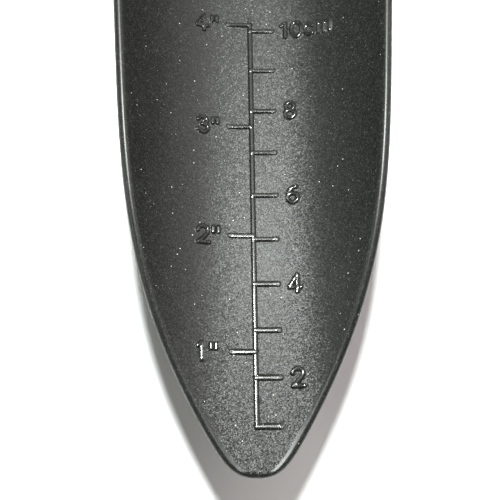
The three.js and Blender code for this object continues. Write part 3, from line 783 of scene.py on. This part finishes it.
def cap_piece():
    start = SHELL_END + GAP
    near = np.array([0, 0.03, 0.1, 0.2, 0.35, EDGE_ROUND])
    dome = HANDLE_END - DOME_LENGTH + DOME_LENGTH * np.sin(np.linspace(0, math.pi / 2, 40))
    butt = HANDLE_END - 0.4  # the last ring, closed by a small flat face
    straight_part = np.arange(start + 1.5, dome[0], 1)
    places = np.concatenate([start + near, straight_part, dome[dome < butt], [butt]])
    cap = handle_loft("butt_cap", 0, places, start)
    tongue_start = SHELL_END + 1 - TONGUE[1]
    length = start + 1 - tongue_start
    join(cap, block((TONGUE[0], length, TONGUE[2]), (0, tongue_start + length / 2, 0)))
    cut(cap, post(SCREW_SHANK + GAP, -10, 10, SCREW_PLACES["rear"]))
    cut(cap, post(EYELET_TUBE + GAP, -20, 20, EYELET_PLACE, 96))
    seat = EYELET_FLANGE + GAP
    cut(cap, post(seat, EYELET_TOP - FLANGE_THICKNESS - GAP, 20, EYELET_PLACE, 96))
    cut(cap, post(seat, -20, EYELET_BOTTOM + FLANGE_THICKNESS + GAP, EYELET_PLACE, 96))
    cut(cap, block((80, 400, 40), (0, 130, -20), Matrix.Identity(4)))  # the flat foot
    smooth(cap)
    return cap


def eyelet_piece():
    def flange(face, inward):
        """The face's round edges, from the bore outwards; inward points into the handle."""
        bore_edge = [(0, 0.9), (0.15, 0.45), (0.45, 0.12), (0.9, 0)]
        outer_edge = [(-0.8, 0), (-0.35, 0.08), (-0.08, 0.35), (0, 0.6)]
        steps = [(EYELET_BORE + out, depth) for out, depth in bore_edge]
        steps += [(EYELET_FLANGE + out, depth) for out, depth in outer_edge]
        steps += [(EYELET_FLANGE, FLANGE_THICKNESS), (EYELET_TUBE, FLANGE_THICKNESS)]
        return [(radius, face + inward * depth) for radius, depth in steps]

    profile = flange(EYELET_BOTTOM, 1) + flange(EYELET_TOP, -1)[::-1]
    eyelet = lathe("hang_eyelet_ring", profile, 96, axis="Z")
    eyelet.matrix_world = in_metres(HANDLE) @ Matrix.Translation((0, EYELET_PLACE * MM, 0))
    smooth(eyelet)
    return eyelet


# Materials ------------------------------------------------------------------------------------

class Surface:
    """A material's node tree, with short ways to add the nodes that these materials use."""

    def __init__(self, name):
        self.material = bpy.data.materials.new(name)
        self.material.use_nodes = True
        self.tree = self.material.node_tree
        self.shader = self.tree.nodes["Principled BSDF"]
        self.place = self.add("ShaderNodeTexCoord").outputs["Object"]

    def add(self, kind, settings=None, **inputs):
        node = self.tree.nodes.new(kind)
        for key, value in (settings or {}).items():
            setattr(node, key, value)
        for key, value in inputs.items():
            self.set(node.inputs[key.replace("_", " ")], value)
        return node

    def set(self, socket, value):
        if isinstance(value, bpy.types.NodeSocket):
            self.tree.links.new(value, socket)
        else:
            socket.default_value = value

    def look(self, **inputs):
        for key, value in inputs.items():
            self.set(self.shader.inputs[key.replace("_", " ")], value)

    def noise(self, size, detail=2.0, roughness=0.5, stretch=None):
        """Noise from 0 to 1 with lumps of about size millimetres."""
        place = self.stretched(stretch) if stretch else self.place
        node = self.add("ShaderNodeTexNoise", Vector=place, Scale=1 / (size * MM))
        self.set(node.inputs["Detail"], detail)
        self.set(node.inputs["Roughness"], roughness)
        return node.outputs["Fac"]

    def stretched(self, factors):
        node = self.add("ShaderNodeVectorMath", {"operation": "MULTIPLY"})
        self.set(node.inputs[0], self.place)
        self.set(node.inputs[1], factors)
        return node.outputs[0]

    def along(self):
        """Distance along the trowel from the middle of its length, in metres."""
        split = self.add("ShaderNodeSeparateXYZ", Vector=self.place)
        return split.outputs["Y"]

    def cells(self, size):
        """(distance from each cell's middle in cell sizes, a random colour for each cell)"""
        node = self.add("ShaderNodeTexVoronoi", Vector=self.place, Scale=1 / (size * MM))
        return node.outputs["Distance"], node.outputs["Color"]

    def span(self, value, low, high, to_low, to_high):
        """Maps low..high of value to to_low..to_high, and holds it there outside."""
        node = self.add("ShaderNodeMapRange", {"clamp": True}, Value=value)
        ends = {"From Min": low, "From Max": high, "To Min": to_low, "To Max": to_high}
        for key, number in ends.items():
            self.set(node.inputs[key], number)
        return node.outputs["Result"]

    def math(self, operation, a, b):
        node = self.add("ShaderNodeMath", {"operation": operation})
        self.set(node.inputs[0], a)
        self.set(node.inputs[1], b)
        return node.outputs[0]

    def mix(self, share, a, b):
        node = self.add("ShaderNodeMix", {"data_type": "RGBA"})
        self.set(node.inputs[0], share)
        self.set(node.inputs[6], a)
        self.set(node.inputs[7], b)
        return node.outputs[2]

    def bump(self, height, depth, strength):
        """depth is the height in millimetres of a full step from 0 to 1."""
        node = self.add("ShaderNodeBump", Height=height, Distance=depth * MM, Strength=strength)
        return node.outputs["Normal"]

    def flakes(self, size, tilt):
        """Normals tilted at random from cell to cell, as on a surface of tiny facets."""
        _, colour = self.cells(size)
        centred = self.add("ShaderNodeVectorMath", {"operation": "SUBTRACT"})
        self.set(centred.inputs[0], colour)
        self.set(centred.inputs[1], (0.5, 0.5, 0.5))
        scaled = self.add("ShaderNodeVectorMath", {"operation": "SCALE"})
        self.set(scaled.inputs["Scale"], tilt)
        self.set(scaled.inputs[0], centred.outputs[0])
        summed = self.add("ShaderNodeVectorMath", {"operation": "ADD"})
        self.set(summed.inputs[0], self.add("ShaderNodeNewGeometry").outputs["Normal"])
        self.set(summed.inputs[1], scaled.outputs[0])
        unit = self.add("ShaderNodeVectorMath", {"operation": "NORMALIZE"})
        self.set(unit.inputs[0], summed.outputs[0])
        return unit.outputs[0]


def blade_material():
    """Dark glass-filled plastic with a spark-eroded grain, bare and shinier on the raised scale."""
    s = Surface("glass_filled_moulding")
    raised = s.add("ShaderNodeAttribute", {"attribute_name": "relief"}).outputs["Fac"]
    rim = s.add("ShaderNodeAttribute", {"attribute_name": "rim"}).outputs["Fac"]
    bare = s.span(raised, 0.5, 0.8, 0, 1)
    shade = s.noise(9, 3)
    darker, lighter = (0.0068, 0.007, 0.0062, 1), (0.009, 0.0094, 0.0086, 1)
    body = s.mix(s.span(shade, 0.3, 0.7, 0, 1), darker, lighter)
    # Pale cells in the base colour: partly the plastic's own uneven grain, partly painted glints
    _, random = s.cells(0.2)
    body = s.mix(s.math("MULTIPLY", s.math("POWER", random, 4), 0.5), body, (0.09, 0.094, 0.086, 1))
    for size, radius, share in ((2.4, 0.14, 0.9), (1.1, 0.1, 0.25)):
        distance, _ = s.cells(size)
        speck = s.span(distance, 0.6 * radius / size, radius / size, share, 0)
        body = s.mix(speck, body, (0.6, 0.62, 0.58, 1))
    # Below a real plastic's IOR: a compromise between this sheen and the photo's overexposed paper
    s.look(Base_Color=body, IOR=1.36)
    polish = s.math("ADD", s.math("MULTIPLY", bare, 0.25), s.math("MULTIPLY", rim, 0.08))
    s.look(Roughness=s.math("SUBTRACT", 0.42, polish))
    worn = s.span(s.along(), -0.15, -0.11, 0.5, 0.27)  # the grain sparkles most at the point
    tilt = s.mix(s.math("MAXIMUM", bare, rim), worn, (0.012, 0.012, 0.012, 1))
    s.look(Normal=s.flakes(0.2, tilt))
    return s.material


def handle_material():
    """Satin charcoal plastic with a fine moulded grain and faint handling marks."""
    s = Surface("handle_plastic")
    cloud = s.noise(14, 3)
    darker, lighter = (0.014, 0.0145, 0.015, 1), (0.021, 0.0215, 0.022, 1)
    s.look(Base_Color=s.mix(s.span(cloud, 0.3, 0.7, 0, 1), darker, lighter))
    marks = s.noise(1.6, 4, 0.65, (1, 0.12, 1))
    s.look(Roughness=s.span(marks, 0.3, 0.75, 0.36, 0.52), IOR=1.5)
    s.look(Normal=s.bump(s.noise(0.35, 2), 0.02, 0.7))
    return s.material


def grip_material():
    """Soft matt elastomer, a little dusty."""
    s = Surface("soft_grip")
    dust = s.noise(5, 5, 0.65)
    clean, dusty = (0.011, 0.0115, 0.012, 1), (0.03, 0.03, 0.029, 1)
    s.look(Base_Color=s.mix(s.span(dust, 0.42, 0.75, 0, 1), clean, dusty))
    s.look(Roughness=s.span(s.noise(0.8, 3), 0.3, 0.7, 0.68, 0.85), IOR=1.45)
    s.look(Sheen_Weight=0.15, Sheen_Roughness=0.5)
    s.look(Normal=s.bump(s.noise(0.25, 2), 0.03, 0.8))
    return s.material


def metal_material(name, colour, low, high, grain, stretch):
    """Metal with fine lines left by turning or drawing, along the stretched direction."""
    s = Surface(name)
    lines = s.noise(grain, 3, 0.6, stretch)
    cloud = s.noise(6, 3)
    darker = tuple(0.8 * c for c in colour)
    s.look(Base_Color=s.mix(s.span(cloud, 0.3, 0.7, 0, 1), (*darker, 1), (*colour, 1)))
    s.look(Metallic=1.0, Roughness=s.span(lines, 0.3, 0.7, low, high))
    s.look(Normal=s.bump(lines, 0.008, 0.6))
    return s.material


def floor_material():
    """Pale matt card with a slight tooth."""
    s = Surface("floor")
    cloud = s.noise(60, 2)
    s.look(Base_Color=s.mix(cloud, (0.86, 0.86, 0.858, 1), (0.88, 0.88, 0.88, 1)))
    s.look(Roughness=s.span(s.noise(1.5, 2), 0.3, 0.7, 0.85, 0.95))
    s.look(Normal=s.bump(s.noise(0.6, 2), 0.01, 0.3))
    return s.material


# Assembly -------------------------------------------------------------------------------------

MATERIALS = {
    "glass_filled_moulding": blade_material(),
    "handle_plastic": handle_material(),
    "soft_grip": grip_material(),
    "collar_metal": metal_material("collar_metal", (0.5, 0.51, 0.52), 0.22, 0.36, 0.5, (0.05, 1, 0.05)),
    "fastener_steel": metal_material("fastener_steel", (0.52, 0.51, 0.49), 0.25, 0.4, 0.4, (1, 0.3, 1)),
    "eyelet_metal": metal_material("eyelet_metal", (0.66, 0.65, 0.62), 0.12, 0.26, 0.6, (1, 1, 0.2)),
}
SLOTS = {part["node"]: part["material_slot"] for part in frame["record"]["subparts"]}


def show(obj, node):
    """obj stands for a CAD node, with the material of that node's slot."""
    slot = SLOTS[node]
    obj.data.transform(obj.matrix_world)
    obj.matrix_world = Matrix.Identity(4)
    if node == "blade":  # its curves pass the CAD's facets, by 0.11 mm at the widest place
        low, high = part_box(node)
        for vertex in obj.data.vertices:
            vertex.co = [min(max(c, a), b) for c, a, b in zip(vertex.co, low, high)]
    obj.data.materials.clear()
    obj.data.materials.append(MATERIALS[slot])
    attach(obj, "root")
    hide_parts(node)


show(blade_piece(), "blade")
show(collar_piece(), "neck_collar")
show(handle_shell("shell_upper", 1), "handle_shell_upper")
show(handle_shell("shell_lower", -1), "handle_shell_lower")
for pad_name in PADS:
    show(pad_piece(pad_name), pad_name)
show(pin_piece(), "tang_pin")
for place, y in SCREW_PLACES.items():
    show(screw_piece(place, y), f"shell_screw_{place}")
show(cap_piece(), "end_cap")
show(eyelet_piece(), "hang_eyelet")


# Stage ----------------------------------------------------------------------------------------

floor = make_object(
    "floor",
    [(-3000, -3000, 0), (3000, -3000, 0), (3000, 3000, 0), (-3000, 3000, 0)],
    [(0, 1, 2, 3)],
    Matrix.Identity(4),
)
floor.data.materials.append(floor_material())


def area_light(name, shape, target, tilt, turn, distance, size, power, colour):
    """A light that shines on target from tilt degrees off the vertical, turned from +Y to +X."""
    tilt, turn = math.radians(tilt), math.radians(turn)
    away = Vector((math.sin(tilt) * math.sin(turn), math.sin(tilt) * math.cos(turn), math.cos(tilt)))
    data = bpy.data.lights.new(name, "AREA")
    data.shape, data.size, data.size_y, data.energy = shape, *size, power
    data.color = colour
    light = bpy.data.objects.new(name, data)
    bpy.context.scene.collection.objects.link(light)
    light.location = target + away * distance
    light.rotation_euler = away.to_track_quat("Z", "Y").to_euler()
    return light


# The key gives the shadow and the bright spot on the scale's line. The others were set by
# comparing the brightness of the blade and of its shadow with the photo
middle = in_metres(BLADE) @ Vector((0, 0.05, 0))
area_light("key", "DISK", middle, 22.5, -8, 0.55, (0.065, 0.065), 7.4, (0.95, 1, 0.98))
area_light("window", "RECTANGLE", middle, 40, -4, 0.9, (0.3, 0.25), 0.8, (1, 0.97, 0.85))
area_light("right", "RECTANGLE", middle, 48, 55, 1.2, (1.3, 1.3), 9.5, (1, 0.91, 0.91))
area_light("left", "RECTANGLE", middle, 60, -90, 1, (0.5, 0.5), 3, (0.97, 1, 0.93))

world = bpy.data.worlds.new("studio")
bpy.context.scene.world = world
world.use_nodes = True
background = world.node_tree.nodes["Background"]
background.inputs["Color"].default_value = (1, 0.95, 0.94, 1)
background.inputs["Strength"].default_value = 0.05

# The camera was found from the scale's marks: it looks down at the scoop from in front of the tip
LOOK_DOWN = math.radians(19.7)  # off the blade's normal
YAW, ROLL = math.radians(2.847), math.radians(0.039)
AIM = Vector((-0.78, 47.634, 0))
DISTANCE = 246.51
FOCAL_LENGTH = 84.24

forward = Vector((0, math.sin(LOOK_DOWN), -math.cos(LOOK_DOWN)))
upward = Vector((0, math.cos(LOOK_DOWN), math.sin(LOOK_DOWN)))
right = Vector((1, 0, 0))
forward, right = (
    forward * math.cos(YAW) + right * math.sin(YAW),
    right * math.cos(YAW) - forward * math.sin(YAW),
)
right, upward = (
    right * math.cos(ROLL) + upward * math.sin(ROLL),
    upward * math.cos(ROLL) - right * math.sin(ROLL),
)
camera_data = bpy.data.cameras.new("camera")
camera_data.lens = FOCAL_LENGTH
camera_data.sensor_width = 36
camera_data.clip_start = 0.01
camera = bpy.data.objects.new("camera", camera_data)
bpy.context.scene.collection.objects.link(camera)
turn = Matrix((right, upward, -forward)).transposed().to_4x4()
camera.matrix_world = in_metres(BLADE @ Matrix.Translation(AIM - forward * DISTANCE) @ turn)
bpy.context.scene.camera = camera

bpy.context.scene.view_settings.view_transform = "Standard"
